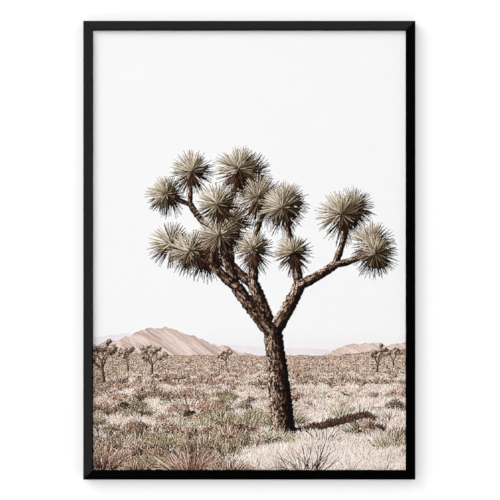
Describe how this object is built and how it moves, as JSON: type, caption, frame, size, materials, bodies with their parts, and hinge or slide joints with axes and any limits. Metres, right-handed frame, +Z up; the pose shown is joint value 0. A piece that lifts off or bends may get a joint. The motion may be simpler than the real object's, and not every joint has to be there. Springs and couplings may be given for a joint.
{
  "type": "framed wall print",
  "caption": "Slim black mitred wall frame with outward-sloping faces, holding a portrait desert print behind a clear sheet, with a recessed back board and toothed hangers.",
  "frame": {"origin": "on the wall plane, at the middle of the top rail's flat back face", "axes": "+Z up, +Y into the wall, so the picture faces -Y, and +X to the right as it is looked at"},
  "size_m": [0.524, 0.0219, 0.724],
  "materials": {
    "black_lacquer": "black satin lacquer on solid wood moulding",
    "clear_acrylic": "clear polished acrylic sheet",
    "printed_paper": "matt coated art paper with a pigment print",
    "hardboard": "brown pressed hardboard, smooth on its back",
    "zinc_steel": "bright zinc-plated steel"
  },
  "bodies": {
    "root": {"back_board": "hardboard", "corner_nail_bottom": "zinc_steel", "corner_nail_left": "zinc_steel", "corner_nail_right": "zinc_steel", "corner_nail_top": "zinc_steel", "glazing": "clear_acrylic", "hanger_right": "zinc_steel", "hanger_top": "zinc_steel", "print_sheet": "printed_paper", "rail_bottom": "black_lacquer", "rail_left": "black_lacquer", "rail_right": "black_lacquer", "rail_top": "black_lacquer", "rivet_right_1": "zinc_steel", "rivet_right_2": "zinc_steel", "rivet_top_1": "zinc_steel", "rivet_top_2": "zinc_steel", "tab_bottom_1": "zinc_steel", "tab_bottom_2": "zinc_steel", "tab_bottom_3": "zinc_steel", "tab_bottom_4": "zinc_steel", "tab_left_1": "zinc_steel", "tab_left_2": "zinc_steel", "tab_left_3": "zinc_steel", "tab_left_4": "zinc_steel", "tab_left_5": "zinc_steel", "tab_left_6": "zinc_steel", "tab_right_1": "zinc_steel", "tab_right_2": "zinc_steel", "tab_right_3": "zinc_steel", "tab_right_4": "zinc_steel", "tab_right_5": "zinc_steel", "tab_right_6": "zinc_steel", "tab_top_1": "zinc_steel", "tab_top_2": "zinc_steel", "tab_top_3": "zinc_steel", "tab_top_4": "zinc_steel"}
  },
  "joints": []
}
